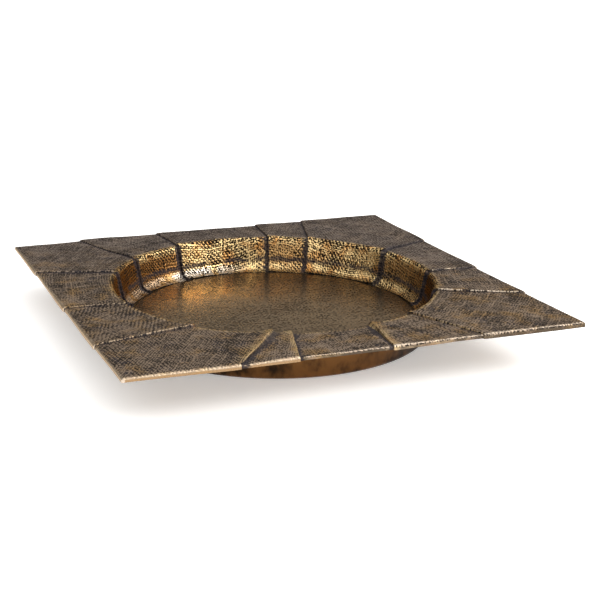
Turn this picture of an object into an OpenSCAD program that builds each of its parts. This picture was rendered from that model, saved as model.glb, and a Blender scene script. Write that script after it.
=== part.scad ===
// Square brass tray with a round, double-walled well.
// A flat square plate carries an inner bowl and an outer dish. Overlapping sheets cover the
// rim: each is turned down over the plate's edge, bends over the lip and runs down the wall.
// Z is up, the origin is on the table under the centre of the tray, and -Y is the front.

/* [Rim] */
// Length of each side of the tray, over the sheets
side = 450; // [440:5:480]
// Height of the rim plate's top above the table
rim_h = 48; // [46:1:54]
// Thickness of the rim plate
plate_t = 3; // [2.5:0.5:4]
// Thickness of the sheets that cover the rim and the wall
sheet_t = 1.2; // [0.8:0.1:1.4]
// Angle that a sheet runs on under its neighbour, in degrees
lap_deg = 2; // [1:0.5:2.5]

/* [Well] */
// Radius where the flat rim starts to bend down into the well
lip_r = 169.5; // [168:0.5:174]
// Depth of the inner bowl's floor below the rim plate's top
well_depth = 34; // [32:1:36]
// Radius of the flat part of the inner bowl's floor
floor_r = 149; // [146:1:150]
// Radius of the cove between the inner bowl's floor and its wall
cove_r = 13.3; // [12:0.1:14]
// Thickness of the inner bowl
bowl_t = 1.2; // [1:0.1:1.8]
// Thickness of the woven floor disc
disc_t = 1.2; // [0.8:0.1:1.5]

/* [Dish] */
// Radius of the flat underside of the outer dish
dish_base_r = 157; // [154:1:160]
// Radius of the rounding between the dish's underside and its wall
dish_round_r = 6; // [4:0.5:8]
// Radius of the dish's wall just under its flange
dish_top_r = 170.3; // [170:0.1:174]
// Thickness of the outer dish
dish_t = 1.6; // [1.2:0.1:2.2]
// Width of the flanges under the rim plate
flange_w = 6; // [5:1:16]

/* [Felt pads] */
// How many felt pads are glued under the dish
felt_count = 4; // [3:1:8]
// Thickness of a felt pad
felt_t = 1.5; // [1:0.5:3]
// Radius of a felt pad
felt_r = 8; // [6:1:12]
// Distance of the felt pads from the centre
felt_ring_r = 138; // [100:1:144]

/* [Hidden] */
$fn = 180;

// Sheets, anticlockwise from the back left corner as seen from above
SHEETS = [
    "back_left_corner_sheet", "left_sheet_back", "left_sheet_front",
    "front_left_corner_sheet", "front_sheet_left", "front_sheet_middle", "front_sheet_right",
    "front_right_corner_sheet", "right_sheet_front", "right_sheet_back",
    "back_right_corner_sheet", "back_sheet_right", "back_sheet_middle", "back_sheet_left"
];

// Seams, anticlockwise, where the sheet of the same place in SHEETS starts:
// [angle at the lip, angle at the rim's edge, hem's extra thickness at the lip in mm,
//  true where the sheet that starts there is on top]
SEAMS = [
    [133, 124, 0.8, false],
    [152, 153, 0.8, false],
    [190, 184, 0.3, false],
    [222, 211, 1.6, false],
    [248, 242, 3.0, false],
    [254, 254, 2.0, false],
    [281, 277, 2.2, true],
    [300, 298, 0.8, true],
    [328, 331, 1.2, true],
    [350, 353, 0.6, true],
    [381, 383, 1.6, true],
    [415, 421, 0.8, false],
    [431, 434, 0.8, false],
    [469, 465, 1.0, false]
];
CORNERS = [135, 225, 315, 405];

// Solder gap under a sheet, and between sheets that overlap
gap = 0.1;
lap_gap = 0.2;
// Step of an overlapping sheet above its neighbour at the rim's edge and at the floor
step = sheet_t + lap_gap;
// Part of a sheet's width that still lies flat before it starts to climb over its neighbour
flat_part = 0.15;
// How far the turned-down edge drops for each millimetre that the sheet stands proud
edge_drop = 0.6;
// Widest angle between two ribs of a sheet's surface, and points in each bend
rib_deg = 6;
bend_steps = 4;

plate_half = side / 2 - gap - sheet_t - step;
plate_z = rim_h - plate_t;
floor_z = rim_h - well_depth;
flange_r = lip_r + flange_w;

// The wall is the common tangent of the lip's bend and the cove, which sets its lean
lip_to_cove_r = lip_r - floor_r;
lip_to_cove_z = (rim_h - plate_t) - (floor_z + cove_r);
wall_lean = acos((plate_t + cove_r) / norm([lip_to_cove_r, lip_to_cove_z]))
    - atan2(lip_to_cove_z, lip_to_cove_r);

// Points [radius, height] of the bend over the lip, at distance d above the plate
function lip_bend(d) = [
    for (k = [0:bend_steps])
        let (a = 90 + (90 - wall_lean) * k / bend_steps)
            [lip_r + (plate_t + d) * cos(a), plate_z + (plate_t + d) * sin(a)]
];

// Points [radius, height] of the cove, at distance d inside the bowl
function cove(d) = [
    for (k = [0:bend_steps])
        let (a = -wall_lean - (90 - wall_lean) * k / bend_steps)
            [floor_r + (cove_r - d) * cos(a), floor_z + cove_r + (cove_r - d) * sin(a)]
];

function reversed(list) = [for (k = [len(list) - 1:-1:0]) list[k]];

// Radius of the bowl's wall face at height z, at distance d inside the bowl
function wall_r(z, d) =
    let (top = lip_bend(d)[bend_steps])
        top[0] - (top[1] - z) * tan(wall_lean);

// A point on the square of half width h, seen from the centre at an angle
function square_point(angle, h) =
    let (reach = max(abs(cos(angle)), abs(sin(angle))))
        [h * cos(angle) / reach, h * sin(angle) / reach];

// One rib of a sheet's face at distance d from what it lies on, and lip_d at the lip,
// from the turned-down edge to the floor
function rib(lip_deg, edge_deg, d, lip_d, drop) =
    let (q = square_point(edge_deg, plate_half + d))
        concat(
            [[q[0], q[1], plate_z - drop], [q[0], q[1], rim_h + d]],
            [for (p = concat(lip_bend(lip_d), cove(d)))
                [p[0] * cos(lip_deg), p[0] * sin(lip_deg), p[1]]]
        );

// A closed ring of points round a sheet's thickness at one rib, for station
// [lip angle, edge angle, lift, extra thickness at the lip, where the sheet's edge is folded into a hem]
function sheet_ring(s) =
    let (low = gap + s[2], top = low + sheet_t, drop = edge_drop * s[2])
        concat(
            rib(s[0], s[1], top, top + s[3], drop),
            reversed(rib(s[0], s[1], low, low, drop))
        );

function seam(i) = let (s = SEAMS[i % 14]) i < 14 ? s : [s[0] + 360, s[1] + 360, s[2], s[3]];

// A sheet's [lift, extra thickness at the lip], where f goes from 0 to 1 across its free width
function lift(f, from, to, over_from, over_to) =
    let (
        a = over_from ? max(0, min(1, (1 - flat_part - f) / (1 - flat_part))) : 0,
        b = over_to ? max(0, min(1, (f - flat_part) / (1 - flat_part))) : 0
    )
        [step * max(a, b), max(from[2] * a, to[2] * b)];

function blend(a, b, f) = a + (b - a) * f;

// Stations of sheet i: its lap at each side, its ribs between, and a rib on the tray's corner
function stations(i) =
    let (
        from = seam(i),
        to = seam(i + 1),
        over_from = from[3],
        over_to = !to[3],
        lap = [lap_deg, lap_deg],
        start = [from[0], from[1]],
        end = [to[0], to[1]],
        a = over_from ? start : start - lap,
        b = over_from ? start + lap : start,
        c = over_to ? end - lap : end,
        d = over_to ? end : end + lap,
        corner = [for (k = CORNERS) if (k > from[1] && k < to[1]) k],
        turn = len(corner) > 0 ? (corner[0] - b[1]) / (c[1] - b[1]) : 0.5,
        near = ceil(turn * (c[0] - b[0]) / rib_deg),
        far = ceil((1 - turn) * (c[0] - b[0]) / rib_deg),
        shares = concat(
            [for (k = [0:near - 1]) turn * k / near],
            [for (k = [0:far]) turn + (1 - turn) * k / far]
        )
    )
        concat(
            [concat(a, lift(0, from, to, over_from, over_to))],
            [for (f = shares) concat(blend(b, c, f), lift(f, from, to, over_from, over_to))],
            [concat(d, lift(1, from, to, over_from, over_to))]
        );

// A sheet is a solid skin through its rings, closed by a strip across each end
module sheet(i) {
    rings = [for (s = stations(i)) sheet_ring(s)];
    ring = len(rings[0]);
    half = ring / 2;
    last = ring * (len(rings) - 1);
    skin = [
        for (j = [0:len(rings) - 2])
            for (k = [0:ring - 1])
                let (p = j * ring + k, q = j * ring + (k + 1) % ring)
                    each [[p, q, q + ring], [p, q + ring, p + ring]]
    ];
    caps = [
        for (k = [0:half - 2])
            let (m = ring - 1 - k)
                each [
                    [k + 1, k, m],
                    [k + 1, m, m - 1],
                    [last + k, last + k + 1, last + m - 1],
                    [last + k, last + m - 1, last + m]
                ]
    ];
    color([0.42, 0.35, 0.25])
        polyhedron(points = [for (r = rings) each r], faces = concat(skin, caps));
}

// The plate's hole is rounded over at its top and leans with the wall
module rim_plate() {
    over = 1;
    color([0.45, 0.36, 0.22])
        difference() {
            translate([-plate_half, -plate_half, plate_z])
                cube([2 * plate_half, 2 * plate_half, plate_t]);
            rotate_extrude()
                polygon(concat(
                    [[0, rim_h + over], [lip_r, rim_h + over]],
                    lip_bend(0),
                    [[wall_r(plate_z - over, 0), plate_z - over], [0, plate_z - over]]
                ));
        }
}

module inner_bowl() {
    color([0.62, 0.47, 0.22])
        rotate_extrude()
            polygon(concat(
                [[flange_r, plate_z], [wall_r(plate_z, 0), plate_z]],
                cove(0),
                [[0, floor_z], [0, floor_z - bowl_t]],
                reversed(cove(-bowl_t)),
                [[wall_r(plate_z - bowl_t, -bowl_t), plate_z - bowl_t], [flange_r, plate_z - bowl_t]]
            ));
}

module floor_disc() {
    color([0.40, 0.33, 0.24])
        translate([0, 0, floor_z])
            cylinder(r = floor_r - sheet_t, h = disc_t);
}

// A quarter bend of the dish, from its flat underside to its wall
function dish_bend(radius) = [
    for (k = [0:bend_steps])
        let (a = -90 + 90 * k / bend_steps)
            [dish_base_r + radius * cos(a), felt_t + dish_round_r + radius * sin(a)]
];

module outer_dish() {
    top = plate_z - bowl_t;
    color([0.40, 0.26, 0.12])
        rotate_extrude()
            polygon(concat(
                [[0, felt_t]],
                dish_bend(dish_round_r),
                [[dish_top_r, top - dish_t], [flange_r, top - dish_t], [flange_r, top], [dish_top_r - dish_t, top]],
                reversed(dish_bend(dish_round_r - dish_t)),
                [[0, felt_t + dish_t]]
            ));
}

module felt_pads() {
    color([0.12, 0.11, 0.10])
        for (k = [0:felt_count - 1])
            rotate([0, 0, 45 + 360 * k / felt_count])
                translate([felt_ring_r, 0, 0])
                    cylinder(r = felt_r, h = felt_t);
}

rim_plate();
inner_bowl();
floor_disc();
outer_dish();
felt_pads();
for (i = [0:len(SHEETS) - 1])
    sheet(i);
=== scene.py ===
import math

import bpy
import numpy as np
from mathutils import Matrix, Vector


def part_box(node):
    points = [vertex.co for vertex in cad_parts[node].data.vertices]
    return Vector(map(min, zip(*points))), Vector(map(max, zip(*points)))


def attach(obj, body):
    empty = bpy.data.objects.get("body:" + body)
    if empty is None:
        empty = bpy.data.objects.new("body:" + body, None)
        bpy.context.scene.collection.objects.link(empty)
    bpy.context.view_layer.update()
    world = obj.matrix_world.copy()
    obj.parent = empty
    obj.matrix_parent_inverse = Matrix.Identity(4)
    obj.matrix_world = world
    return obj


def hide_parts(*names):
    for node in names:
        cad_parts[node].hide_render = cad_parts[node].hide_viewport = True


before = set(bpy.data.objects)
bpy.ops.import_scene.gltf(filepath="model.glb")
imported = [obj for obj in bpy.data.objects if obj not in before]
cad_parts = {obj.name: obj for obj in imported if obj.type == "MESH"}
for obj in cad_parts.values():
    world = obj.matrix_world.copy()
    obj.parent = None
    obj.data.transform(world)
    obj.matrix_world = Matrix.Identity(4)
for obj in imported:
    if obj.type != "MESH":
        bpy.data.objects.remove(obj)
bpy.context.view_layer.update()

MM = 0.001
UP = np.array([0.0, 0.0, 1.0])

# ---------------------------------------------------------------- sizes read from the frame


def vertices(node):
    """A CAD node's own points, each once."""
    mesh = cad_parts[node].data
    points = np.empty(3 * len(mesh.vertices), np.float32)
    mesh.vertices.foreach_get("co", points)
    return np.unique(np.round(points.reshape(-1, 3).astype(float), 6), axis=0)


def radii_at(node, height):
    """Distances from the axis of a CAD node's points at one height."""
    points = vertices(node)
    level = points[np.abs(points[:, 2] - height) < 0.01 * MM]
    return np.hypot(level[:, 0], level[:, 1])


plate_low, plate_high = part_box("rim_plate")
disc_low, disc_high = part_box("floor_disc")
dish_low, dish_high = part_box("outer_dish")
PLATE_HALF, RIM_Z, PLATE_Z = plate_high.x, plate_high.z, plate_low.z
PLATE_T = RIM_Z - PLATE_Z
FLOOR_Z, DISC_Z, DISC_R = disc_low.z, disc_high.z, disc_high.x
LIP_R = radii_at("rim_plate", RIM_Z).min()
SHEETS = [name for name in sorted(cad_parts) if "sheet" in name]
FLOOR_R = min(radii_at(name, vertices(name)[:, 2].min()).min() for name in SHEETS)
COVE_R = 13.3 * MM
CORNERS = np.radians([-225, -135, -45, 45, 135, 225])

# The wall is the common tangent of the bend over the lip and the cove
LIP_TO_COVE = (LIP_R - FLOOR_R, PLATE_Z - FLOOR_Z - COVE_R)
LEAN = (math.acos((PLATE_T + COVE_R) / math.hypot(*LIP_TO_COVE))
        - math.atan2(LIP_TO_COVE[1], LIP_TO_COVE[0]))
BEND = math.pi / 2 - LEAN
WALL_LENGTH = math.hypot(*LIP_TO_COVE) * math.sin(math.acos((PLATE_T + COVE_R) / math.hypot(*LIP_TO_COVE)))

# ---------------------------------------------------------------- noise and weave


def ease(x):
    x = np.clip(x, 0, 1)
    return x * x * (3 - 2 * x)


def step(x, start, end):
    """0 before start, 1 after end and smooth in between."""
    return ease((x - start) / (end - start))


def blend(a, b, f):
    return a + (b - a) * f


def noise(x, y, seed):
    """Smooth noise from 0 to 1, with one cell to a unit."""
    table = np.random.default_rng(seed).random((256, 256))
    i, j = np.floor(x).astype(int), np.floor(y).astype(int)
    u, v = ease(x - i), ease(y - j)
    i0, i1, j0, j1 = i & 255, (i + 1) & 255, j & 255, (j + 1) & 255
    near = blend(table[i0, j0], table[i1, j0], u)
    far = blend(table[i0, j1], table[i1, j1], u)
    return blend(near, far, v)


def layered(x, y, seed):
    """Three layers of noise, about 0 and within 1 either way."""
    total = noise(x, y, seed) * 4 + noise(2 * x, 2 * y, seed + 1) * 2 + noise(4 * x, 4 * y, seed + 2)
    return total / 3.5 - 1


def threads(across, along, crossing, seed):
    """Height from 0 to 1 of one set of uneven threads that pass over and under the other set."""
    rng = np.random.default_rng(seed)
    swell, rise = rng.random(512), rng.random(512)
    i = np.floor(across).astype(int)
    x = 2 * (across - i) - 1
    lump = noise(i * 7.31, along / 3.5, seed + 1) - 0.5
    width = 0.62 + 0.35 * swell[i & 511] + 0.7 * lump
    round_top = np.sqrt(np.clip(1 - (x / width) ** 2, 0, 1))
    over = np.cos(math.pi * (i + along - 0.5)) * crossing
    slub = noise(i * 3.17, along / 9, seed + 2)
    return round_top * (0.6 + 0.2 * over) * (0.55 + 0.4 * rise[i & 511] + 0.35 * slub)


def weave(u, v, seed):
    """Height from 0 to 1 of a plain weave of coarse jute, with threads a unit apart."""
    drift = 1.3 * layered(u / 9, v / 9, seed + 5)
    jog = 0.5 * layered(u / 2.3, v / 2.3, seed + 9) + 0.16 * layered(u / 1.1, v / 1.1, seed + 13)
    warp = threads(u + drift + jog, v, 1, seed)
    weft = threads(v + drift * 0.7 - jog, u, -1, seed + 20)
    return np.clip(np.maximum(warp, weft) * 1.15, 0, 1)


# ---------------------------------------------------------------- meshes


def zip_rows(a, at_a, b, at_b):
    """Triangles between two rows of points whose places along the rows are at_a and at_b."""
    places = np.concatenate([at_a[1:], at_b[1:]])
    on_b = np.concatenate([np.zeros(len(a) - 1, bool), np.ones(len(b) - 1, bool)])
    on_b = on_b[np.argsort(places, kind="stable")]
    i, j = np.cumsum(~on_b) - ~on_b, np.cumsum(on_b) - on_b
    third = np.where(on_b, b[np.minimum(j + 1, len(b) - 1)], a[np.minimum(i + 1, len(a) - 1)])
    return np.stack([a[i], third, b[j]], axis=1)


def make_piece(name, points, smooth_faces, flat_faces, material, attributes):
    faces = np.concatenate([smooth_faces, flat_faces]) if len(flat_faces) else smooth_faces
    mesh = bpy.data.meshes.new(name)
    mesh.vertices.add(len(points))
    mesh.vertices.foreach_set("co", points.astype(np.float32).ravel())
    mesh.loops.add(3 * len(faces))
    mesh.loops.foreach_set("vertex_index", faces.astype(np.int32).ravel())
    mesh.polygons.add(len(faces))
    mesh.polygons.foreach_set("loop_start", np.arange(0, 3 * len(faces), 3, dtype=np.int32))
    mesh.polygons.foreach_set("use_smooth", np.arange(len(faces)) < len(smooth_faces))
    mesh.update(calc_edges=True)
    mesh.validate()
    for key, values in attributes.items():
        layer = mesh.attributes.new(key, "FLOAT", "POINT")
        layer.data.foreach_set("value", values.astype(np.float32))
    mesh.materials.append(material)
    piece = bpy.data.objects.new(name, mesh)
    bpy.context.scene.collection.objects.link(piece)
    return piece


def settle(piece, node):
    """The piece stands for a CAD node, which it hides, and rides with the tray."""
    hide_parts(node)
    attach(piece, "root")


# ---------------------------------------------------------------- the hand-made unevenness

CORNER_PULLS = {
    # corner's direction: how far the real corner stands off the true square, in mm
    (-1, -1): (0.0, 0.0, 1.9),
    (1, -1): (5.2, -1.8, -1.0),
    (1, 1): (0.0, 0.0, -0.9),
    (-1, 1): (0.0, 0.0, -0.7),
}
CORNER_REACH = 90 * MM
LIP_RISE = 1.9 * MM
LIP_RISE_WIDTH = 32 * MM
WAVE = 0.9 * MM
WAVE_LENGTH = 62 * MM


def uneven(points):
    """Moves points as the hand-made rim is out of true: a proud lip, pulled corners, slow waves."""
    x, y, z = points.T
    r = np.hypot(x, y)
    above = step(z, FLOOR_Z + 4 * MM, RIM_Z - 4 * MM)
    away_from_front = step(y / np.maximum(r, MM), -0.75, -0.2)
    lip = LIP_RISE * np.exp(-((r - LIP_R) / LIP_RISE_WIDTH) ** 2) * away_from_front
    wave = WAVE * layered(x / WAVE_LENGTH + 31, y / WAVE_LENGTH + 17, 3) * step(r, 0.9 * LIP_R, 1.05 * LIP_R)
    moved = points + UP * ((lip + wave) * above)[:, None]
    for (sx, sy), pull in CORNER_PULLS.items():
        gap = np.hypot(x - sx * PLATE_HALF, y - sy * PLATE_HALF) / CORNER_REACH
        moved = moved + np.exp(-gap ** 2)[:, None] * np.array(pull) * MM
    return moved


# ---------------------------------------------------------------- woven sheets

GAP = 0.1 * MM
SPACING = 0.52 * MM
MOST_POINTS = 96000
WARP_PITCH = 2.4 * MM
WEFT_PITCH = 2.7 * MM
WEAVE_DEPTH = 0.8 * MM
EDGE_DROP = 0.2
FOOT_RISE = 1.1 * MM
HEM_ROUND = 0.8 * MM
HEM_SINK = 0.45 * MM
RIDGE_WIDTH = 9 * MM
WOBBLE = 0.8 * MM
SKIRT_STEPS = 7
FAR = (0.39, 0.92)
FLANGE, TURN, RIM, LIP, WALL, COVE = range(6)
PATINATED_EDGE = {
    # share of the turned-down edge's height, from its foot, that is still dark
    "front_sheet_middle": 1.2, "front_sheet_right": 1.1, "front_right_corner_sheet": 1.1,
}
WALL_AMBER = {
    # how far a sheet's wall is coloured from gold towards dark amber
    "left_sheet_front": 1.0, "left_sheet_back": 0.9, "back_left_corner_sheet": 0.86,
    "back_sheet_left": 0.75, "back_sheet_right": 0.45, "right_sheet_back": 0.4,
    "right_sheet_front": 0.9, "front_right_corner_sheet": 0.8,
}


def turned(points, middle):
    """Angles of points about the axis, within half a turn of the middle angle."""
    angle = np.arctan2(points[:, 1], points[:, 0])
    return middle + (angle - middle + math.pi) % (2 * math.pi) - math.pi


def ribs(points, heights, middle):
    """Sorted angles where points lie, with the highest height at each."""
    angles = np.round(turned(points, middle), 5)
    unique = np.unique(angles)
    merged = unique[np.concatenate([[True], np.diff(unique) > 2e-4])]
    tops = [heights[np.abs(angles - a) < 3e-4].max() for a in merged]
    return merged, np.array(tops)


def read_sheet(name):
    """The ribs of a CAD sheet: angles at the lip and the rim's edge, lift and hem thickness."""
    points = vertices(name)
    middle = math.atan2(*points[:, 1::-1].mean(0))
    r = np.hypot(points[:, 0], points[:, 1])
    reach = np.abs(points[:, :2]).max(1)
    at_foot = (np.abs(r - FLOOR_R) < 0.02 * MM) & (points[:, 2] < FLOOR_Z + COVE_R)
    at_lip = (np.abs(r - LIP_R) < 0.02 * MM) & (points[:, 2] > RIM_Z)
    at_edge = (reach > PLATE_HALF) & (points[:, 2] > RIM_Z)
    lip, foot_top = ribs(points[at_foot], points[at_foot, 2], middle)
    lip_again, lip_top = ribs(points[at_lip], points[at_lip, 2], middle)
    edge, edge_top = ribs(points[at_edge], points[at_edge, 2], middle)
    thickness = np.ptp(points[at_foot & (turned(points, middle) < lip[0] + 1e-3), 2])
    lift = edge_top - RIM_Z - GAP - thickness
    thin = min(len(lip), len(edge))
    assert len(lip) == len(lip_again) == len(edge) == thin, (name, len(lip), len(lip_again), len(edge))
    share = (lip - lip[0]) / (lip[-1] - lip[0])
    bend = [k for k in range(1, len(edge) - 1) if np.abs(edge[k] - CORNERS).min() < 1e-3]
    return {
        "name": name, "lip": lip, "edge": edge, "share": share, "lift": lift,
        "extra": lip_top - edge_top, "thickness": thickness,
        "over": (lift[0] > GAP, lift[-1] > GAP),
        "free": (share[1], share[-2]),
        "turn": share[bend[0]] if bend else None,
        "middle": middle,
    }


def square_point(angle):
    """Points on the plate's outline, and its outward direction there."""
    c, s = np.cos(angle), np.sin(angle)
    reach = np.maximum(np.abs(c), np.abs(s))
    out = np.stack([np.where(np.abs(c) > reach - 1e-5, np.sign(c), 0),
                    np.where(np.abs(s) > reach - 1e-5, np.sign(s), 0), 0 * c], axis=1)
    return PLATE_HALF * np.stack([c / reach, s / reach], axis=1), out


def add_neighbours(sheets):
    """Notes, for each end of each sheet, the hem thickness of the neighbour that lies there."""
    for sheet in sheets:
        sheet["beside"] = []
        for end, other_end in ((0, -1), (-1, 0)):
            gaps = [abs(math.remainder(sheet["lip"][end] - other["lip"][other_end], 2 * math.pi))
                    if other is not sheet else math.inf for other in sheets]
            sheet["beside"].append(sheets[int(np.argmin(gaps))]["extra"][other_end])


def spans(sheet):
    """The parts of a sheet's width between its sides and the tray's corner: ends, edge and lip lengths."""
    ends = [0.0] + ([sheet["turn"]] if sheet["turn"] else []) + [1.0]
    angles = np.interp(ends, sheet["share"], sheet["edge"])
    corners = square_point(angles)[0]
    edge = np.linalg.norm(np.diff(corners, axis=0), axis=1)
    lip = LIP_R * (sheet["lip"][-1] - sheet["lip"][0]) * np.diff(ends)
    return ends, edge, lip


def row_places(sheet, spacing):
    """Rows down a sheet, from the turned-down edge over the lip to the floor: part and share of it."""
    corners, _ = square_point(sheet["edge"])
    lips = LIP_R * np.stack([np.cos(sheet["lip"]), np.sin(sheet["lip"])], axis=1)
    leg = np.linalg.norm(corners - lips, axis=1).mean() * 1.1
    thick = GAP + sheet["thickness"]
    lengths = {
        FLANGE: PLATE_T, TURN: 2.5 * thick, RIM: leg, LIP: (PLATE_T + thick) * BEND,
        WALL: WALL_LENGTH, COVE: (COVE_R - thick) * BEND,
    }
    rows = [(FLANGE, 0.0)]
    for part, length in lengths.items():
        count = max(3, math.ceil(length / spacing))
        rows += [(part, (k + 1) / count) for k in range(count)]
    return np.array(rows)


def column_places(sheet, part, share, spacing):
    """Places across one row: -1 to 0 down the first side's face, 0 to 1 across, 1 to 2 down the last side's."""
    ends, edge, lip = spans(sheet)
    inward = {FLANGE: 0.0, TURN: 0.0, RIM: share}.get(part, 1.0)
    lengths = blend(edge, lip, inward)
    places = [np.linspace(a, b, max(4, math.ceil(length / spacing)) + 1)[:-1]
              for a, b, length in zip(ends, ends[1:], lengths)]
    places = np.concatenate(places + [[1.0]])
    fine = np.array([0.12, 0.3, 0.6]) * HEM_ROUND
    start = fine / lengths[0] * (ends[1] - ends[0])
    last = 1 - fine[::-1] / lengths[-1] * (ends[-1] - ends[-2])
    places = np.concatenate([[0], start, places[(places > start[-1] * 1.3) & (places < 1 - (1 - last[0]) * 1.3)],
                             last, [1]])
    down = np.arange(1, SKIRT_STEPS + 1) / SKIRT_STEPS
    return np.concatenate([-down[::-1], places, 1 + down])


def base_surface(sheet, place, part, share):
    """Points on the plate and bowl under a sheet, directions off them, and flat places on the cloth."""
    lip = np.interp(place, sheet["share"], sheet["lip"])
    edge = np.interp(place, sheet["share"], sheet["edge"])
    drop = EDGE_DROP * np.interp(place, sheet["share"], sheet["lift"])
    corner, out = square_point(edge)
    radial = np.stack([np.cos(lip), np.sin(lip), 0 * lip], axis=1)
    corner = np.column_stack([corner, np.full(len(corner), RIM_Z)])
    lip_point = np.column_stack([LIP_R * radial[:, :2], np.full(len(corner), RIM_Z)])

    def ring(r, z):
        return radial * r[:, None] + UP * z[:, None]

    foot_rise = FOOT_RISE * (1 - step(corner[:, 0], 0.2 * PLATE_HALF, PLATE_HALF))
    flange = corner - UP * ((PLATE_T - foot_rise + drop) * (1 - share))[:, None]
    quarter = share * math.pi / 2
    turning = out * np.cos(quarter)[:, None] + UP * np.sin(quarter)[:, None]
    rim = blend(corner, lip_point, share[:, None])
    over = math.pi / 2 + BEND * share
    lip_bend = ring(LIP_R + PLATE_T * np.cos(over), PLATE_Z + PLATE_T * np.sin(over))
    off_lip = ring(np.cos(over), np.sin(over))
    wall_top = (LIP_R - PLATE_T * math.cos(LEAN), PLATE_Z + PLATE_T * math.sin(LEAN))
    wall_end = (FLOOR_R + COVE_R * math.cos(LEAN), FLOOR_Z + COVE_R - COVE_R * math.sin(LEAN))
    wall = ring(blend(wall_top[0], wall_end[0], share), blend(wall_top[1], wall_end[1], share))
    off_wall = ring(np.full(len(lip), -math.cos(LEAN)), np.full(len(lip), math.sin(LEAN)))
    under = -LEAN - BEND * share
    cove = ring(FLOOR_R + COVE_R * np.cos(under), FLOOR_Z + COVE_R + COVE_R * np.sin(under))
    off_cove = ring(-np.cos(under), -np.sin(under))
    ups = np.broadcast_to(UP, rim.shape)
    kinds = [(part == k)[:, None] for k in range(6)]
    point = np.select(kinds, [flange, corner, rim, lip_bend, wall, cove])
    off = np.select(kinds, [out, turning, ups, off_lip, off_wall, off_cove])

    lip_arc = (PLATE_T + 1.5 * MM) * BEND
    run = np.select([part == LIP, part == WALL, part == COVE],
                    [lip_arc * share, lip_arc + WALL_LENGTH * share,
                     lip_arc + WALL_LENGTH + (COVE_R - 1.5 * MM) * BEND * share], 0)
    cloth = np.select(kinds, [corner + out * ((PLATE_T + drop) * (1 - share) + 2 * MM)[:, None],
                              corner + out * (2 * MM * (1 - share))[:, None],
                              rim, lip_point, lip_point, lip_point])[:, :2]
    cloth = cloth - sheet["thread"] * run[:, None]
    along = blend(corner, lip_point, 0)[:, :2] - lip_point[:, :2]
    along = along / np.linalg.norm(along, axis=1)[:, None]
    rib_side = np.stack([-along[:, 1], along[:, 0], 0 * lip], axis=1)
    ring_side = np.stack([-radial[:, 1], radial[:, 0], 0 * lip], axis=1)
    inward = np.select([part < RIM, part == RIM], [0, share], 1)
    sideways = blend(rib_side, ring_side, inward[:, None])
    return point, off, cloth, sideways


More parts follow.
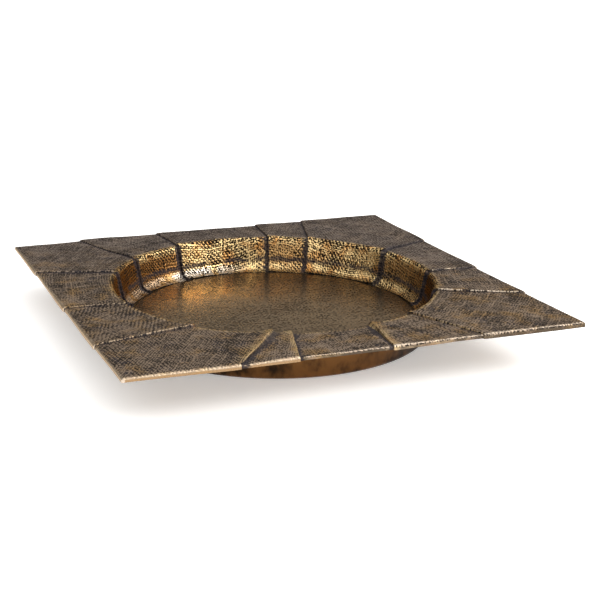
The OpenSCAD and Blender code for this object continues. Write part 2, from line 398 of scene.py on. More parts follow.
def woven_sheet(sheet, number, material):
    angle = sheet["middle"] + math.radians(7 * math.sin(2.4 * number + 1))
    c, s = math.cos(angle), math.sin(angle)
    sheet["thread"] = np.array([c, s])
    spacing = SPACING
    rows = row_places(sheet, spacing)
    columns = [column_places(sheet, p, s, spacing) for p, s in rows]
    while sum(map(len, columns)) > MOST_POINTS:
        spacing *= 1.03
        rows = row_places(sheet, spacing)
        columns = [column_places(sheet, p, s, spacing) for p, s in rows]
    counts = np.array([len(c) for c in columns])
    place = np.concatenate(columns)
    part, share = np.repeat(rows[:, 0], counts).astype(int), np.repeat(rows[:, 1], counts)
    t = np.clip(place, 0, 1)
    down = np.clip(np.maximum(-place, place - 1), 0, 1)
    last_side = place > 0.5
    point, off, cloth, sideways = base_surface(sheet, t, part, share)

    # distances from the sheet's two sides, measured on the surface
    ends, edge, lip = spans(sheet)
    inward = np.select([part < RIM, part == RIM], [0, share], 1.0)
    width_first = blend(edge[0], lip[0], inward) / (ends[1] - ends[0])
    width_last = blend(edge[-1], lip[-1], inward) / (ends[-1] - ends[-2])
    from_first = t * width_first
    from_last = (1 - t) * width_last
    near = np.minimum(from_first, from_last)
    on_wall = np.select([part < LIP, part == LIP], [0, ease(share * 1.6)], 1.0)

    # cloth and its threads
    u = (cloth[:, 0] * -s + cloth[:, 1] * c) / WARP_PITCH
    v = (cloth[:, 0] * c + cloth[:, 1] * s) / WEFT_PITCH
    cloth_height = weave(u, v, 100 + 50 * number)
    coarse = 0.75 + 0.35 * layered(u / 9, v / 9, 11 + number)

    # height over the plate: thickness, lift over the neighbour, hem ridge and rounded hem
    lift = np.interp(t, sheet["share"], sheet["lift"])
    height = GAP + sheet["thickness"] + lift
    over_first, over_last = sheet["over"]
    extra_first, extra_last = sheet["extra"][0], sheet["extra"][-1]
    hem = np.zeros(len(t))
    lump = 1 + 0.3 * layered(cloth[:, 0] / (18 * MM), cloth[:, 1] / (18 * MM), 77 + number)
    seam = np.zeros(len(t))
    ripple = np.zeros(len(t))
    ragged = noise(cloth[:, 0] / (2.6 * MM), cloth[:, 1] / (2.6 * MM), 9)
    behind = step(point[:, 1], -60 * MM, 20 * MM)
    for over, extra, beside, distance, free in (
        (over_first, extra_first, sheet["beside"][0], from_first, (t - sheet["free"][0]) * width_first),
        (over_last, extra_last, sheet["beside"][1], from_last, (sheet["free"][1] - t) * width_last),
    ):
        if over:
            height = height + extra * inward * lump * np.exp(-(distance / RIDGE_WIDTH) ** 2)
            bend_in = np.clip(1 - distance / HEM_ROUND, 0, 1)
            height = height - HEM_ROUND * (1 - np.sqrt(1 - bend_in ** 2)) * lump
            strip = 1.0 * MM + 3.0 * extra * step(extra, 0.8 * MM, 2.0 * MM)
            hem = np.maximum(hem, np.exp(-(distance / strip) ** 2) * blend(0.45, 1.0, step(extra, 0.7 * MM, 2.2 * MM)))
            ripple = np.maximum(ripple, np.exp(-distance / (4 * MM)))
            band = 2.2 * MM * on_wall * (0.4 + ragged)
            seam = np.maximum(seam, on_wall * (1 - step(distance, 0.5 * band, band + 0.01 * MM)))
        else:
            # painted shadow: a dark band on the sheet that runs under a raised neighbour, wider beside a thicker hem
            # and at the back; on the wall the band is the seams' dark patina
            shade = 1.6 + 2.0 * behind + 10.0 * step(beside, 1.5 * MM, 2.4 * MM) * blend(0.5, 1.0, inward)
            band = blend(shade, 7.5, on_wall) * MM * (0.5 + 0.9 * ragged)
            frayed = free + 2.2 * MM * (cloth_height - 0.45)
            seam = np.maximum(seam, 1 - step(frayed, 0.5 * band, band))
    seam_flat = np.where(near < 30 * MM, seam, 0)
    raised = WEAVE_DEPTH * (cloth_height - 0.55) * coarse * (1 - 0.45 * hem) * (1 - 0.3 * seam_flat)
    height = height + raised * np.select([part == FLANGE, part == TURN, part == LIP], [0.15, 0.5, 1.5], 1.0) * (1 - step(down, 0, 0.15))

    # the side faces run down onto the neighbour, sloping out where the hem is thick
    over = np.where(last_side, over_last, over_first)
    extra = np.where(last_side, extra_last, extra_first) * inward
    sole = np.where(over, GAP + sheet["thickness"] - HEM_SINK, GAP)
    fall = (height - sole) * down
    height = height - fall
    slope = np.where(over, 0.2 + 0.5 * step(extra, 1.2 * MM, 3.0 * MM) * 3, 0)
    side_sign = np.where(last_side, 1.0, -1.0)
    shove = fall * slope * side_sign
    wander = WOBBLE * layered(cloth[:, 0] / (9 * MM), cloth[:, 1] / (9 * MM), 200 + number) * ripple
    points = point + off * height[:, None] + sideways * (shove + wander)[:, None]
    out_x, out_y, _ = (sideways * side_sign[:, None]).T

    # what the finish needs: crests, wear with painted light and highlights, and the seams' dark wash with painted
    # shade
    # painted shade: a dark crease where the wall turns into the cove
    down_wall = np.select([part == WALL, part == COVE], [share * WALL_LENGTH, WALL_LENGTH + share * COVE_R * BEND], 0)
    sway = 2.4 * MM * layered(cloth[:, 0] / (16 * MM), cloth[:, 1] / (16 * MM), 15)
    crease = np.abs(down_wall - WALL_LENGTH + 2.0 * MM - sway) + 1.6 * MM * (cloth_height - 0.5)
    fold = (part >= WALL) * (1 - step(crease, 1.0 * MM, (2.6 + 2.8 * ragged) * MM))
    fold = fold * step(noise(cloth[:, 0] / (13 * MM), cloth[:, 1] / (13 * MM), 33), 0.12, 0.5)
    # painted light and shade: the side faces of raised hems are dark where they turn away from the light, and brighter
    # where they face left, towards it
    facing_left = step(-out_x, 0.15, 0.8) * (1 - behind)
    facing_light = np.maximum(facing_left, 0.25 * step(-out_y, 0.5, 0.75) * (point[:, 0] < 0))
    face = step(down, 0.02, 0.2) * over
    lip_glint = np.exp(-((np.hypot(point[:, 0], point[:, 1]) - LIP_R + 1.5 * MM) / (3.2 * MM)) ** 2)
    patinated = PATINATED_EDGE.get(sheet["name"], 0.0)
    flange_worn = 0.24 if patinated else 1.0
    turn_worn = step(share, 0.3, 0.6) if patinated else 1.0
    edge_worn = np.select([part == FLANGE, part == TURN], [flange_worn, turn_worn * (1 - 0.8 * share)], 0.0)
    along_lip = np.interp(t, sheet["share"], sheet["lip"]) % (2 * math.pi)
    in_cove = np.where(part == COVE, step(share, 0.0, 0.4), 0.0) * (1 - 0.75 * step(np.degrees(along_lip), 104, 126))
    left_back = step(-point[:, 0] / FLOOR_R, -0.25, 0.15) * step(point[:, 1] / FLOOR_R, 0.1, 0.5)
    # painted highlight: pale dashes along raised hems on the right that face the camera, for the lamps' glint on them
    dashes = step(noise(cloth[:, 0] / (4 * MM), cloth[:, 1] / (4 * MM), 29), 0.3, 0.5)
    facing_front = step(-out_x * FAR[0] - out_y * FAR[1], 0.88, 0.95) * over * (part == RIM) * dashes * (point[:, 0] > 0)
    own_extra = np.where(last_side, extra_last, extra_first)
    thin_hem = own_extra < 1.0 * MM
    glint_run = np.where(thin_hem, 0.6 * step(inward, 0.3, 0.6), 0.8)
    from_side = np.where(last_side, from_last, from_first)
    glint = np.exp(-(from_side / (1.2 * MM)) ** 2) * facing_front * glint_run * (1 - step(down, 0.15, 0.5))
    # painted highlight: pale gold patches in the left-back cove, for the glints that fall there
    painted_highlight = in_cove * left_back * step(noise(cloth[:, 0] / (9 * MM), cloth[:, 1] / (9 * MM), 19), 0.15, 0.5)
    # painted shade: hems that face the front lose their rubbed brightness, and on the right a painted shadow line runs
    # along them
    dull = step(-out_y, 0.5, 0.75) * (1 - glint)
    hem = hem * (1 - dull * np.where(point[:, 0] > 0, 0.9, 0.75)) * (1 - 0.6 * behind * (part == RIM))
    side_line = dull * (point[:, 0] > 0) * over * (part == RIM) * np.exp(-(from_side / (0.8 * MM)) ** 2)
    # painted highlight: a pale line along the rounded top of the turned-down edge; painted reflection: a pale left
    # edge, for the white backdrop it mirrors
    rounded = (part == TURN) * np.where(patinated > 0, 0.7 * step(share, 0.2, 0.5), 0.3)
    left_edge = 0.6 * (part <= TURN) * (point[:, 0] < -PLATE_HALF + MM)
    painted_highlight = np.maximum.reduce([painted_highlight, glint, rounded, left_edge])
    far = step(point[:, 0] * FAR[0] + point[:, 1] * FAR[1], -60 * MM, 150 * MM) * (1 - on_wall)
    # real wear on the lip, the edges and the hems, and painted light: the wall is rubbed bright for the light it
    # faces, and glints and left-facing side faces are painted bright
    wear_and_light = np.maximum.reduce([on_wall * np.where(part == LIP, 0.55, 1.0), glint, 0.35 * lip_glint, edge_worn, 0.62 * hem, 0.5 * face * facing_left])
    # painted shade with the seams' dark patina: shadow bands and lines beside raised hems, the crease, and side faces
    # turned from the light
    dark = np.maximum.reduce([seam_flat, 0.8 * side_line, 0.9 * np.clip(fold, 0, 1), face * (1 - 0.75 * facing_light)])
    wall_amber = WALL_AMBER.get(sheet["name"], 0.0)
    amber_from = np.select([part == LIP, part == WALL, part == COVE],
                          [share * (wall_amber > 0.85), np.maximum(step(share, 0, 0.3), wall_amber > 0.85), 1.0], 0.0)
    calm = ((part == FLANGE) & (patinated > 0)) * 1.0
    attributes = {
        "crest": np.where(calm, 0.5, np.clip(cloth_height, 0, 1)), "calm": calm, "wear_and_light": wear_and_light, "seam": dark,
        "wall": np.where(part == LIP, step(share, 0, 0.25), on_wall), "edge": edge_worn, "painted_highlight": painted_highlight,
        # less amber in the cove, where the painted highlight lies
        "wall_amber": wall_amber * (1 - 0.8 * in_cove) * amber_from, "far": far,
    }

    # the faces: the shown skin, then a plain underside that closes it
    first = np.concatenate([[0], np.cumsum(counts)])
    index = [np.arange(first[k], first[k + 1]) for k in range(len(rows))]
    skin = [zip_rows(index[k], columns[k], index[k + 1], columns[k + 1]) for k in range(len(rows) - 1)]
    under_rows = np.array([(FLANGE, 0), (FLANGE, 1)] + [(RIM, k / 12) for k in range(13)]
                          + [(LIP, k / 4) for k in range(1, 5)] + [(WALL, 1)] + [(COVE, k / 5) for k in range(1, 6)])
    under_t = np.unique(np.concatenate([np.linspace(0, 1, 25), [sheet["turn"] or 0.5]]))
    n_rows, n_t = len(under_rows), len(under_t)
    ut = np.tile(under_t, n_rows)
    base, away, _, _ = base_surface(sheet, ut, np.repeat(under_rows[:, 0], n_t).astype(int),
                                    np.repeat(under_rows[:, 1], n_t))
    low = GAP + np.interp(ut, sheet["share"], sheet["lift"])
    below = base + away * low[:, None]
    start = len(points)
    lower = [start + np.arange(k * n_t, (k + 1) * n_t) for k in range(n_rows)]
    closing = [zip_rows(lower[k + 1], under_t, lower[k], under_t) for k in range(n_rows - 1)]
    closing.append(zip_rows(lower[0], under_t, index[0], columns[0]))
    closing.append(zip_rows(index[-1], columns[-1], lower[-1], under_t))
    travel, under_travel = rows[:, 0] + rows[:, 1], under_rows[:, 0] + under_rows[:, 1]
    firsts, lasts = first[:-1], first[1:] - 1
    lower_firsts, lower_lasts = np.array([l[0] for l in lower]), np.array([l[-1] for l in lower])
    closing.append(zip_rows(firsts, travel, lower_firsts, under_travel))
    closing.append(zip_rows(lower_lasts, under_travel, lasts, travel))
    points = uneven(np.concatenate([points, below]))
    attributes = {k: np.concatenate([a, np.zeros(len(below))]) for k, a in attributes.items()}
    piece = make_piece("woven_" + sheet["name"], points, np.concatenate(skin), np.concatenate(closing),
                       material, attributes)
    settle(piece, sheet["name"])
    return piece


# ---------------------------------------------------------------- round pieces

FULL_TURN = 2 * math.pi
FLOOR_PITCH = 2.6 * MM
# where the dish's painted light is centred, facing the camera, and how wide it spreads
DISH_LIT_AT = math.radians(-98)
DISH_LIT_WIDTH = math.radians(34)
FLOOR_DEPTH = 0.18 * MM
# painted reflection: a bright patch on the floor disc in front of the back-left wall, where the bright wall would be
# mirrored
REFLECTION_AT = (-52 * MM, 82 * MM)
REFLECTION_SIZE = (56 * MM, 40 * MM)


def ring_rows(radii, heights, counts, first=0):
    """Rings of points about the axis and the index rows that close each ring on itself."""
    points, rows, places = [], [], []
    for r, z, n in zip(radii, heights, counts):
        a = FULL_TURN * np.arange(n) / n
        points.append(np.stack([r * np.cos(a), r * np.sin(a), np.full(n, z)], axis=1))
        index = first + np.arange(n)
        rows.append(np.append(index, first))
        places.append(np.arange(n + 1) / n)
        first += n
    return np.concatenate(points), rows, places


def woven_floor(material):
    """The floor disc: a finer cloth imprint, a little dished and uneven."""
    spacing = 0.84 * MM
    radii = np.append(np.arange(1, int(DISC_R / spacing)) * spacing, [DISC_R - 0.3 * MM, DISC_R])
    heights = np.append(np.full(len(radii) - 1, DISC_Z), DISC_Z - 0.35 * MM)
    counts = np.maximum(8, np.ceil(FULL_TURN * radii / spacing)).astype(int)
    radii = np.append(radii, [DISC_R, 0.5 * DISC_R])
    heights = np.append(heights, [FLOOR_Z, FLOOR_Z])
    counts = np.append(counts, [180, 60])
    points, rows, places = ring_rows(radii, heights, counts)
    x, y, z = points.T
    top = z > DISC_Z - 0.4 * MM
    waves = 0.35 * MM * layered(x / (38 * MM), y / (38 * MM), 41)
    thread = weave(x / FLOOR_PITCH, y / FLOOR_PITCH, 900)
    # painted reflection: the bright patch where the back-left wall would be mirrored
    painted_reflection = np.exp(-np.hypot((x - REFLECTION_AT[0]) / REFLECTION_SIZE[0], (y - REFLECTION_AT[1]) / REFLECTION_SIZE[1]) ** 2)
    painted_reflection = np.append(painted_reflection * top, [0, 0])
    rim_fade = 1 - step(np.hypot(x, y), DISC_R - 1.5 * MM, DISC_R)
    points[:, 2] += np.where(top, waves + FLOOR_DEPTH * (thread - 0.6) * rim_fade, 0)
    centre, under = len(points), len(points) + 1
    points = np.vstack([points, [0, 0, DISC_Z], [0, 0, FLOOR_Z]])
    thread = np.append(np.where(top, thread, 0), [0.6, 0])
    faces = [zip_rows(rows[k + 1], places[k + 1], rows[k], places[k]) for k in range(len(rows) - 1)]
    inner, outer = rows[0], rows[-1]
    faces.append(np.stack([inner[:-1], inner[1:], np.full(len(inner) - 1, centre)], axis=1))
    faces.append(np.stack([outer[1:], outer[:-1], np.full(len(outer) - 1, under)], axis=1))
    piece = make_piece("woven_floor", points, np.concatenate(faces[:-4] + [faces[-2]]),
                       np.concatenate([faces[-4], faces[-3], faces[-1]]), material,
                       {"crest": thread, "painted_reflection": painted_reflection})
    settle(piece, "floor_disc")


def dish_profile():
    """The dish's closed outline as radius and height, from the middle of its underside round to the inside."""
    base_r = radii_at("outer_dish", dish_low.z).max()
    top_r = radii_at("outer_dish", dish_low.z + (dish_high.z - dish_low.z)).min()
    flange_r = dish_high.x
    thick = 1.6 * MM
    wall_r = top_r + thick
    round_r = 6 * MM
    bend = np.radians(np.linspace(-90, 0, 14))
    outside = [(r, dish_low.z) for r in np.linspace(4 * MM, base_r - 2 * MM, 40)]
    outside += [(base_r + round_r * math.cos(a), dish_low.z + round_r + round_r * math.sin(a)) for a in bend]
    start = outside[-1]
    outside += [(blend(start[0], wall_r, k / 22), blend(start[1], dish_high.z - thick, k / 22)) for k in range(1, 23)]
    outside += [(blend(wall_r, flange_r, k / 3), dish_high.z - thick) for k in range(1, 4)]
    inside = [(flange_r, dish_high.z), (top_r, dish_high.z)]
    inside += [(base_r + (round_r - thick) * math.cos(a), dish_low.z + round_r + (round_r - thick) * math.sin(a))
               for a in bend[::-3]]
    inside += [(r, dish_low.z + thick) for r in np.linspace(base_r - 10 * MM, 4 * MM, 6)]
    return outside, inside


def bronze_dish(material):
    """The outer dish, smooth but slightly beaten, so that its shine breaks up."""
    outside, inside = dish_profile()
    outline = np.array(outside + inside)
    points, rows, places = ring_rows(outline[:, 0], outline[:, 1], [540] * len(outline))
    x, y, z = points.T
    r, a = np.hypot(x, y), np.arctan2(y, x)
    shown = np.arange(len(points)) < 540 * len(outside)
    around = r[:, None] * np.stack([np.cos(a), np.sin(a)], axis=1)
    dents = layered(around[:, 0] / (26 * MM), (around[:, 1] + z) / (26 * MM), 51)
    upright = step(z, dish_low.z + 1 * MM, dish_low.z + 8 * MM) * (1 - step(z, dish_high.z - 8 * MM, dish_high.z - 3 * MM))
    push = np.where(shown, 0.45 * MM * dents * upright, 0)
    points[:, 0] += push * np.cos(a)
    points[:, 1] += push * np.sin(a)
    faces = [zip_rows(rows[k], places[k], rows[k + 1], places[k + 1]) for k in range(len(rows) - 1)]
    middle, inner = len(points), len(points) + 1
    points = np.vstack([points, [0, 0, dish_low.z], [0, 0, dish_low.z + 1.6 * MM]])
    bottom, top = rows[0], rows[-1]
    faces.append(np.stack([bottom[1:], bottom[:-1], np.full(len(bottom) - 1, middle)], axis=1))
    faces.append(np.stack([top[:-1], top[1:], np.full(len(top) - 1, inner)], axis=1))
    smooth = np.concatenate(faces[: len(outside) - 4] + [faces[-2]])
    flat = np.concatenate(faces[len(outside) - 4:-2] + [faces[-1]])
    turn = np.append(np.arctan2(points[:-2, 1], points[:-2, 0]), [0, 0])
    # painted light and shade: lighter where the dish faces the camera, darker towards its ends, where shade falls
    # under the rim
    front = np.exp(-((turn - DISH_LIT_AT) / DISH_LIT_WIDTH) ** 2)
    piece = make_piece("bronze_dish", points, smooth, flat, material, {"front": front})
    settle(piece, "outer_dish")


def plate(material):
    """The rim plate, following the rim's unevenness so that the sheets stay on it."""
    turns = np.unique(np.concatenate([np.linspace(0, FULL_TURN, 361)[:-1], CORNERS % FULL_TURN]))
    corner, _ = square_point(turns)
    circle = np.stack([np.cos(turns), np.sin(turns)], axis=1)
    inset = 0.4 * MM
    scale = (PLATE_HALF - inset) / PLATE_HALF
    rows = []
    hole_top, hole_low = LIP_R + 0.5 * MM, radii_at("rim_plate", PLATE_Z).min() + 0.4 * MM
    for f in np.linspace(0, 1, 14):
        rows.append((blend(corner * scale, circle * hole_low, f), PLATE_Z + (FOOT_RISE + 0.3 * MM) * (1 - step(f, 0, 0.3))))
    rows.append((circle * (hole_low + 0.3 * MM), PLATE_Z + 0.6 * PLATE_T))
    rows.append((circle * hole_top, RIM_Z - 0.3 * MM))
    for f in np.linspace(1, 0, 8)[1:]:
        rows.append((blend(corner * scale, circle * hole_top, f), RIM_Z - 0.3 * MM))
    rows.append(rows[0])
    n = len(turns)
    points = np.concatenate([np.column_stack([p, np.full(n, z)]) for p, z in rows[:-1]])
    index = [np.append(k * n + np.arange(n), k * n) for k in list(range(len(rows) - 1)) + [0]]
    places = np.append(turns, FULL_TURN)
    faces = [zip_rows(index[k + 1], places, index[k], places) for k in range(len(rows) - 1)]
    piece = make_piece("brass_rim_plate", uneven(points), np.concatenate(faces[:13]), np.concatenate(faces[13:]),
                       material, {})
    settle(piece, "rim_plate")


def felt_pads(material):
    """Soft round pads with rounded rims and a fibrous, uneven surface."""
    low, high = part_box("felt_pads")
    points = vertices("felt_pads")
    thick = high.z - low.z
    pads = [points[(np.sign(points[:, 0]) == sx) & (np.sign(points[:, 1]) == sy)]
            for sx, sy in ((1, 1), (-1, 1), (-1, -1), (1, -1))]
    outline = [(0.25, 1.0), (0.6, 1.0), (0.88, 1.0), (0.97, 0.93), (1.0, 0.75), (1.0, 0.25), (0.97, 0.06),
               (0.88, 0.0), (0.6, 0.0), (0.25, 0.0)]
    all_points, all_faces, first = [], [], 0
    for pad in pads:
        middle = (pad.max(0) + pad.min(0)) / 2
        radius = np.ptp(pad[:, 0]) / 2
        ring, rows, places = ring_rows([radius * r for r, _ in outline], [low.z + thick * z for _, z in outline],
                                       [96] * len(outline), first)
        fuzz = 0.12 * MM * layered(ring[:, 0] / (1.5 * MM) + 9, ring[:, 1] / (1.5 * MM) + 9, 61)
        ring[:, :2] *= (1 + fuzz / radius)[:, None]
        ring[:, :2] += middle[:2]
        top, bottom = len(ring) + first, len(ring) + first + 1
        ring = np.vstack([ring, [middle[0], middle[1], high.z], [middle[0], middle[1], low.z]])
        faces = [zip_rows(rows[k + 1], places[k + 1], rows[k], places[k]) for k in range(len(rows) - 1)]
        faces.append(np.stack([rows[0][:-1], rows[0][1:], np.full(96, top)], axis=1))
        faces.append(np.stack([rows[-1][1:], rows[-1][:-1], np.full(96, bottom)], axis=1))
        all_points.append(ring)
        all_faces += faces
        first += len(ring)
    piece = make_piece("felt_pad_set", np.concatenate(all_points), np.concatenate(all_faces), [], material, {})
    settle(piece, "felt_pads")


# ---------------------------------------------------------------- materials


class Finish:
    """A node material: each method adds one node and gives its output."""

    def __init__(self, name):
        self.material = bpy.data.materials.new(name)
        self.material.use_nodes = True
        self.tree = self.material.node_tree
        self.shader = self.tree.nodes["Principled BSDF"]
        self.place = self.add("ShaderNodeTexCoord").outputs["Object"]

    def add(self, kind, **settings):
        node = self.tree.nodes.new(kind)
        for key, value in settings.items():
            setattr(node, key, value)
        return node

    def feed(self, socket, value):
        if isinstance(value, bpy.types.NodeSocket):
            self.tree.links.new(value, socket)
        elif isinstance(value, tuple) and len(socket.default_value) == 4:
            socket.default_value = (*value, 1.0)
        else:
            socket.default_value = value

    def attribute(self, name):
        return self.add("ShaderNodeAttribute", attribute_name=name).outputs["Fac"]

    def math(self, operation, a, b=0.0, clamp=False):
        node = self.add("ShaderNodeMath", operation=operation, use_clamp=clamp)
        self.feed(node.inputs[0], a)
        self.feed(node.inputs[1], b)
        return node.outputs[0]

    def noise(self, size, detail=3.0, roughness=0.55, stretch=(1.0, 1.0, 1.0), turn=0.0):
        """Noise from 0 to 1 whose features are about size across, in metres."""
        mapping = self.add("ShaderNodeMapping")
        self.feed(mapping.inputs["Vector"], self.place)
        mapping.inputs["Rotation"].default_value = (0, 0, turn)
        mapping.inputs["Scale"].default_value = stretch
        node = self.add("ShaderNodeTexNoise")
        self.feed(node.inputs["Vector"], mapping.outputs[0])
        node.inputs["Scale"].default_value = 1 / size
        node.inputs["Detail"].default_value = detail
        node.inputs["Roughness"].default_value = roughness
        return node.outputs[0]

    def ramp(self, value, low, high, to_low=0.0, to_high=1.0):
        node = self.add("ShaderNodeMapRange", interpolation_type="SMOOTHSTEP")
        self.feed(node.inputs["Value"], value)
        for key, x in (("From Min", low), ("From Max", high), ("To Min", to_low), ("To Max", to_high)):
            self.feed(node.inputs[key], x)
        return node.outputs[0]

    def mix(self, a, b, share):
        node = self.add("ShaderNodeMix", data_type="RGBA")
        self.feed(node.inputs[0], share)
        self.feed(node.inputs[6], a)
        self.feed(node.inputs[7], b)
        return node.outputs[2]

    def blend(self, a, b, share):
        node = self.add("ShaderNodeMix", data_type="FLOAT")
        self.feed(node.inputs[0], share)
        self.feed(node.inputs[2], a)
        self.feed(node.inputs[3], b)
        return node.outputs[0]

    def bump(self, height, distance, strength=1.0):
        node = self.add("ShaderNodeBump")
        node.inputs["Strength"].default_value = strength
        node.inputs["Distance"].default_value = distance
        self.feed(node.inputs["Height"], height)
        self.tree.links.new(node.outputs[0], self.shader.inputs["Normal"])

    def tint(self, colour, level):
        """Colours the sheen at grazing angles, and sets how strong the uncoated part's is."""
        self.feed(self.shader.inputs["Specular Tint"], colour)
        self.shader.inputs["Specular IOR Level"].default_value = level

    def finish(self, **inputs):
        for key, value in inputs.items():
            self.feed(self.shader.inputs[key.replace("_", " ").title()], value)
        return self.material


def rgb(red, green, blue):
    """A colour as light, from the 0 to 255 values of a screen."""
    return tuple((c / 255 + 0.055) ** 2.4 / 1.055 ** 2.4 if c > 10 else c / 3294 for c in (red, green, blue))


PATINA = rgb(36, 32, 29)
BLUE_WASH = rgb(46, 46, 54)
# dark colours for the seams' patina and for the painted shade
SEAM_AND_SHADE_DARK = rgb(18, 16, 20)
SEAM_AND_SHADE_PALE = rgb(60, 56, 60)
WALL_DARK = rgb(24, 17, 10)
TAN = rgb(142, 126, 111)
OCHRE = rgb(148, 122, 90)
GOLD = rgb(236, 204, 146)
COOL_TAN = rgb(133, 124, 119)
HIGHLIGHT_GOLD = rgb(240, 228, 212)
EDGE_GOLD = rgb(154, 122, 84)
AMBER = rgb(186, 124, 58)
DARK_AMBER = rgb(96, 62, 30)
WARM_EDGE_TINT = rgb(192, 174, 152)


def woven_brass():
    f = Finish("woven_brass")
    crest, wear_and_light, seam = f.attribute("crest"), f.attribute("wear_and_light"), f.attribute("seam")
    wall, edge, wall_amber, painted_highlight = (f.attribute(key) for key in ("wall", "edge", "wall_amber", "painted_highlight"))
    far, calm = f.attribute("far"), f.attribute("calm")
    patches, blotches = f.noise(40 * MM), f.noise(12 * MM)
    grain, fibre = f.noise(1.7 * MM, 3.0, 0.7), f.noise(0.5 * MM, 2.0, 0.6)

    def about(value, amount):
        return f.math("MULTIPLY", f.math("SUBTRACT", value, 0.5), amount)

    level = f.math("ADD", f.math("MULTIPLY", crest, f.blend(1.2, 1.42, wall)), about(grain, f.blend(f.blend(1.6, 2.3, far), 0.4, calm)))
    level = f.math("ADD", f.math("ADD", level, about(patches, 0.65)), about(blotches, 0.5))
    level = f.math("ADD", level, f.math("MULTIPLY", wear_and_light, 0.34))
    level = f.math("SUBTRACT", level, f.math("MULTIPLY", wall, 0.43))
    level = f.math("SUBTRACT", level, f.math("MULTIPLY", far, 0.02))
    worn = f.math("MAXIMUM", f.ramp(level, 0.5, 0.95), f.math("MULTIPLY", edge, 0.92))
    wash = f.ramp(f.noise(13 * MM, 3.0), 0.52, 0.68, 0.0, 0.55)
    dark = f.mix(f.mix(PATINA, BLUE_WASH, wash), WALL_DARK, wall)
    # painted light: the wall is painted bright gold, as it faces the light, together with the rubbed and painted-light
    # places
    rub = f.math("MAXIMUM", wall, f.math("MULTIPLY", wear_and_light, 0.75))
    amber = f.math("MAXIMUM", f.ramp(f.noise(17 * MM), 0.42, 0.7, 0.0, 0.8), wall_amber)
    gold = f.mix(f.mix(GOLD, AMBER, amber), DARK_AMBER, f.math("MULTIPLY", wall_amber, 0.75))
    # painted highlight and painted reflection: pale gold where the highlight mask is set
    gold = f.mix(f.mix(gold, EDGE_GOLD, edge), HIGHLIGHT_GOLD, painted_highlight)
    plain = f.mix(f.mix(TAN, OCHRE, f.ramp(f.noise(21 * MM), 0.45, 0.7)), COOL_TAN, f.math("MULTIPLY", far, 0.75))
    bright = f.mix(plain, gold, rub)
    # the seams' dark patina and the painted shade of creases, side faces and the bands beside raised hems
    shade = f.mix(SEAM_AND_SHADE_DARK, SEAM_AND_SHADE_PALE, crest)
    colour = f.mix(f.mix(dark, bright, worn), shade, f.math("MULTIPLY", seam, 0.92))
    metal = f.blend(f.blend(0.6, 1.0, worn), 0.5, seam)
    rough = f.blend(f.blend(0.6, f.blend(0.48, 0.27, wear_and_light), worn), 0.6, seam)
    f.bump(f.math("ADD", f.math("MULTIPLY", grain, 0.6), f.math("MULTIPLY", fibre, 0.4)), 0.4 * MM, 0.9)
    f.tint(WARM_EDGE_TINT, 0.2)
    return f.finish(base_color=colour, metallic=metal, roughness=rough)


def woven_floor_brass():
    f = Finish("woven_floor_brass")
    crest = f.attribute("crest")
    painted_reflection = f.math("MULTIPLY", f.attribute("painted_reflection"), f.ramp(f.noise(15 * MM, 4.0, 0.6), 0.3, 0.62, 0.35, 1.0))
    grain = f.noise(1.9 * MM, 1.5, 0.6, (1.0, 0.5, 1.0))
    cross = f.noise(1.9 * MM, 1.5, 0.6, (0.5, 1.0, 1.0))
    patches, clouds = f.noise(50 * MM), f.noise(14 * MM)

    def about(value, amount):
        return f.math("MULTIPLY", f.math("SUBTRACT", value, 0.5), amount)

    level = f.math("ADD", f.math("MULTIPLY", crest, 0.8), about(grain, 2.1))
    level = f.math("ADD", f.math("ADD", level, about(cross, 1.2)), f.math("ADD", about(patches, 0.6), about(clouds, 0.5)))
    level = f.math("ADD", level, f.math("MULTIPLY", painted_reflection, 0.4))
    worn = f.ramp(level, 0.12, 0.78)
    dark = f.mix(rgb(35, 30, 27), rgb(44, 37, 30), f.ramp(f.noise(22 * MM), 0.35, 0.65))
    bright = f.mix(rgb(142, 127, 111), rgb(149, 130, 106), patches)
    # painted reflection: pale gold in the bright patch
    bright = f.mix(bright, rgb(204, 172, 132), painted_reflection)
    colour = f.mix(dark, bright, worn)
    f.bump(grain, 0.2 * MM, 0.35)
    f.tint(rgb(246, 230, 210), 0.2)
    return f.finish(base_color=colour, metallic=f.blend(0.85, 1.0, worn), roughness=f.blend(0.32, 0.2, worn))


def dark_dish_brass():
    f = Finish("dark_dish_brass")
    front = f.attribute("front")
    clouds = f.noise(32 * MM, 3.0, 0.55)
    streaks = f.noise(6 * MM, 3.0, 0.6, (1.0, 1.0, 0.5))
    level = f.math("ADD", f.math("MULTIPLY", clouds, 0.7), f.math("MULTIPLY", streaks, 0.3))
    # painted light: the mottle is pushed brighter where the dish faces the camera
    level = f.math("ADD", level, f.math("MULTIPLY", front, 0.14))
    worn = f.ramp(level, 0.42, 0.68)
    colour = f.mix(rgb(38, 26, 17), rgb(116, 79, 43), worn)
    # painted shade: darker towards the dish's ends
    colour = f.mix(rgb(30, 21, 15), colour, f.ramp(front, 0.0, 0.5, 0.1, 1.0))
    f.bump(streaks, 0.2 * MM, 0.35)
    return f.finish(base_color=colour, metallic=0.92, roughness=f.blend(0.42, 0.32, worn))


def plain_brass():
    f = Finish("plain_brass")
    clouds = f.noise(40 * MM, 4.0, 0.6)
    scratches = f.noise(2 * MM, 3.0, 0.7, (0.15, 1.0, 1.0), 0.6)
    colour = f.mix(rgb(84, 66, 44), rgb(140, 108, 62), f.ramp(clouds, 0.38, 0.64))
    f.bump(scratches, 0.12 * MM, 0.4)
    return f.finish(base_color=colour, metallic=0.9, roughness=f.blend(0.42, 0.6, clouds))


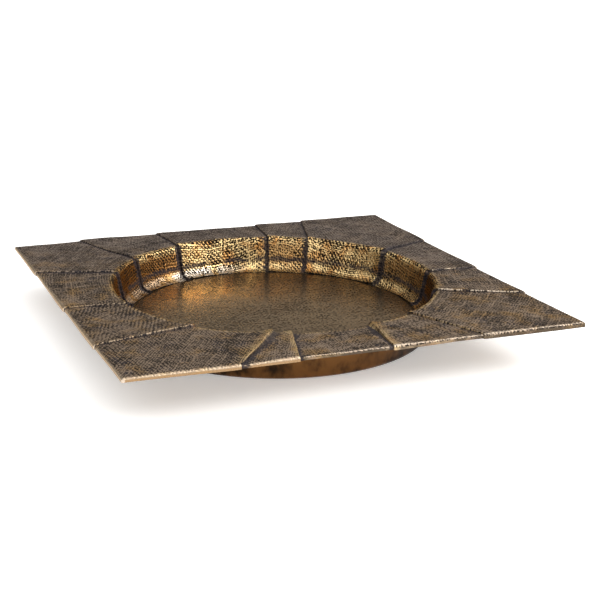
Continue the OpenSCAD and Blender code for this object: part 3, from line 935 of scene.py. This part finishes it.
def felt():
    f = Finish("felt")
    fibres = f.noise(0.6 * MM, 3.0, 0.7)
    colour = f.mix(rgb(34, 32, 30), rgb(58, 55, 51), f.ramp(fibres, 0.35, 0.7))
    f.bump(fibres, 0.3 * MM, 0.9)
    f.shader.inputs["Sheen Weight"].default_value = 0.3
    return f.finish(base_color=colour, roughness=0.95)


def pale_floor():
    f = Finish("pale_floor")
    colour = f.mix(rgb(244, 243, 241), rgb(248, 247, 246), f.noise(0.4))
    f.shader.inputs["Emission Strength"].default_value = 0.4
    return f.finish(base_color=colour, roughness=0.9, emission_color=colour)


# ---------------------------------------------------------------- stage, lights and camera

FLOOR_REACH = 8.0


def stage():
    mesh = bpy.data.meshes.new("studio_floor")
    corners = [(sx * FLOOR_REACH, sy * FLOOR_REACH, 0) for sx, sy in ((-1, -1), (1, -1), (1, 1), (-1, 1))]
    mesh.from_pydata(corners, [], [(0, 1, 2, 3)])
    mesh.materials.append(pale_floor())
    floor = bpy.data.objects.new("studio_floor", mesh)
    bpy.context.scene.collection.objects.link(floor)


def softbox(name, place, target, size, power):
    light = bpy.data.lights.new(name, "AREA")
    light.shape = "RECTANGLE"
    light.size, light.size_y = size
    light.energy = power
    lamp = bpy.data.objects.new(name, light)
    lamp.location = place
    lamp.rotation_mode = "QUATERNION"
    lamp.rotation_quaternion = (Vector(target) - Vector(place)).to_track_quat("-Z", "Y")
    bpy.context.scene.collection.objects.link(lamp)


def glow(radiance, size):
    """Power of a softbox whose face has this radiance, where the white floor's is about 1."""
    return radiance * math.pi * size[0] * size[1]


def studio_light():
    world = bpy.data.worlds.new("studio")
    world.use_nodes = True
    bpy.context.scene.world = world
    nodes, links = world.node_tree.nodes, world.node_tree.links
    direction = nodes.new("ShaderNodeTexCoord").outputs["Generated"]
    towards = nodes.new("ShaderNodeVectorMath")
    towards.operation = "DOT_PRODUCT"
    towards.inputs[1].default_value = (0.62, -0.62, 0.48)
    fade = nodes.new("ShaderNodeMapRange")
    fade.inputs["From Min"].default_value = -0.55
    fade.inputs["From Max"].default_value = 0.85
    fade.inputs["To Min"].default_value = 0.25
    fade.inputs["To Max"].default_value = 1.0
    links.new(direction, towards.inputs[0])
    links.new(towards.outputs["Value"], fade.inputs["Value"])
    links.new(fade.outputs[0], nodes["Background"].inputs["Strength"])
    nodes["Background"].inputs["Color"].default_value = (1.0, 0.995, 0.985, 1.0)
    softbox("ceiling", (0, 0, 4), (0, 0, 0), (12, 12), glow(0.75, (12, 12)))
    softbox("right_key", (4.3, -2.5, 2.2), (0, 0, 0.03), (4.2, 3.2), glow(2.1, (4.2, 3.2)))
    softbox("front_key", (1.5, -1.6, 1.55), (0, 0, 0.03), (1.5, 0.9), glow(6.0, (1.5, 0.9)))
    softbox("left_fill", (-3.5, -2.4, 0.8), (0, 0, 0.03), (3.6, 1.4), glow(2.4, (3.6, 1.4)))
    softbox("glint", (2.3, 0.2, 1.87), (0, 0, 0.03), (0.7, 0.7), glow(7.0, (0.7, 0.7)))
    view = bpy.context.scene.view_settings
    view.view_transform = "Standard"
    view.look = "None"


CAMERA_PLACE = (-0.491, -1.234, 0.450)
CAMERA_YAW = math.radians(22.87)
CAMERA_PITCH = math.radians(17.59)
CAMERA_ROLL = math.radians(0.88)
CAMERA_LENS = 80.3


def camera():
    data = bpy.data.cameras.new("camera")
    data.lens = CAMERA_LENS
    data.clip_start, data.clip_end = 0.05, 50
    eye = bpy.data.objects.new("camera", data)
    forward = Vector((math.sin(CAMERA_YAW) * math.cos(CAMERA_PITCH),
                      math.cos(CAMERA_YAW) * math.cos(CAMERA_PITCH), -math.sin(CAMERA_PITCH)))
    right = forward.cross(Vector((0, 0, 1))).normalized()
    up = right.cross(forward)
    c, s = math.cos(CAMERA_ROLL), math.sin(CAMERA_ROLL)
    right, up = right * c + up * s, up * c - right * s
    turn = Matrix((right, up, -forward)).transposed()
    eye.matrix_world = Matrix.Translation(CAMERA_PLACE) @ turn.to_4x4()
    bpy.context.scene.collection.objects.link(eye)
    bpy.context.scene.camera = eye


# ---------------------------------------------------------------- the whole tray

camera()
studio_light()
stage()
cloth_finish, brass = woven_brass(), plain_brass()
sheets = [read_sheet(name) for name in SHEETS]
add_neighbours(sheets)
for number, sheet in enumerate(sheets):
    woven_sheet(sheet, number, cloth_finish)
woven_floor(woven_floor_brass())
bronze_dish(dark_dish_brass())
plate(brass)
felt_pads(felt())
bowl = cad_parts["inner_bowl"]
bowl.data.materials.clear()
bowl.data.materials.append(brass)
